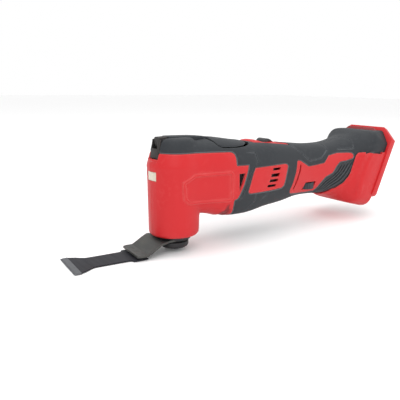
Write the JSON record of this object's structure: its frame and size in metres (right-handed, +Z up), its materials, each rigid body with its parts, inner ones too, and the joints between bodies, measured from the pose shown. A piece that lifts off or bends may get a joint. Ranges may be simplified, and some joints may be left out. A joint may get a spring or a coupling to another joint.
{
  "type": "oscillating multi tool",
  "caption": "Cordless oscillating multi tool with a quick-release blade clamp, slide switch, soft grip and an open battery foot.",
  "frame": {"origin": "on the output spindle axis, in the plane of the blade seat on the drive flange", "axes": "+Z up along the spindle axis away from the blade, +X rearwards along the barrel towards the battery foot, +Y to the right side of the tool as its user holds it"},
  "size_m": [0.3979, 0.08, 0.1077],
  "materials": {
    "red_plastic": "fine spark-eroded texture, satin",
    "grip_rubber": "matt soft-touch overmold",
    "black_plastic": "moulded, satin",
    "seal_rubber": "smooth",
    "bare_steel": "ground",
    "black_steel": "blackened",
    "cast_alloy": "cast",
    "brass": "stamped",
    "copper": "drawn copper",
    "carbon": "pressed carbon",
    "ferrite": "sintered",
    "white_plastic": "moulded",
    "dial_grey": "moulded, knurled",
    "board_green": "solder mask",
    "lens": "clear moulded lens",
    "wire_red": "extruded insulation",
    "wire_black": "extruded insulation",
    "bracket_grey": "phosphated steel",
    "blade_black": "dark coated steel",
    "edge_steel": "ground, toothed edge"
  },
  "bodies": {
    "root": {"left_housing": "red_plastic", "right_housing": "red_plastic", "left_overmold": "grip_rubber", "right_overmold": "grip_rubber", "battery_frame": "red_plastic", "terminal_block": "black_plastic", "terminal_blades": "brass", "nose_ring": "black_plastic", "front_guard": "black_plastic", "lever_pin": "bare_steel", "lever_bracket": "bare_steel", "bracket_screws": "black_steel", "lower_bearing": "bare_steel", "upper_bearing": "bare_steel", "spindle_seal": "seal_rubber", "gear_case": "cast_alloy", "gear_case_screws": "black_steel", "front_motor_bearing": "bare_steel", "rear_motor_bearing": "bare_steel", "motor_can": "bare_steel", "motor_magnets": "ferrite", "motor_end_bell": "black_plastic", "carbon_brushes": "carbon", "brush_holders": "brass", "brush_springs": "bare_steel", "switch_bezel": "red_plastic", "slide_switch": "black_plastic", "dial_board": "board_green", "control_board": "board_green", "heat_sink": "cast_alloy", "led_lens": "lens", "led_board": "board_green", "housing_screws": "black_steel", "battery_wires": "wire_red", "motor_wires": "wire_black"},
    "spindle": {"output_spindle": "bare_steel", "drive_flange": "black_steel", "drive_pins": "bare_steel", "retaining_ring": "black_steel", "oscillating_fork": "bare_steel", "blade_bracket": "bracket_grey", "blade_body": "blade_black", "blade_welds": "bracket_grey", "blade_teeth": "edge_steel", "clamp_spring": "bare_steel"},
    "clamp": {"clamp_rod": "bare_steel", "clamp_cap": "black_steel", "clamp_flange": "black_steel"},
    "lever": {"release_lever": "black_plastic"},
    "rotor": {"motor_shaft": "bare_steel", "eccentric": "bare_steel", "eccentric_bearing": "bare_steel", "counterweight": "brass", "cooling_fan": "black_plastic", "armature_core": "bare_steel", "armature_windings": "copper", "commutator": "copper"},
    "slider": {"switch_slider": "black_plastic", "switch_link": "white_plastic"},
    "dial": {"speed_dial": "dial_grey"}
  },
  "joints": [
    {"name": "spindle_oscillation", "type": "hinge", "parent": "root", "child": "spindle", "pos_m": [0, 0, 0], "axis": [0, 0, 1], "range_deg": [-1.7, 1.7]},
    {"name": "clamp_release", "type": "slide", "parent": "spindle", "child": "clamp", "axis": [0, 0, -1], "range_m": [0, 0.003], "stiffness_N_per_m": 200, "springref_m": -0.002, "deforming": ["clamp_spring"]},
    {"name": "lever_swing", "type": "hinge", "parent": "root", "child": "lever", "pos_m": [-0.014, 0, 0.0895], "axis": [0, -1, 0], "range_deg": [0, 150]},
    {"name": "motor_spin", "type": "hinge", "parent": "root", "child": "rotor", "pos_m": [0.06, 0, 0.045], "axis": [1, 0, 0], "continuous": true},
    {"name": "switch_slide", "type": "slide", "parent": "root", "child": "slider", "axis": [1, 0, 0], "range_m": [0, 0.007]},
    {"name": "dial_turn", "type": "hinge", "parent": "root", "child": "dial", "pos_m": [0.16268, -0.013, 0.0353], "axis": [0, 0, 1], "range_deg": [-150, 150]}
  ],
  "couplings": [
    {"joint": "clamp_release", "follows": "lever_swing", "m_per_rad": 0.0011458}
  ]
}
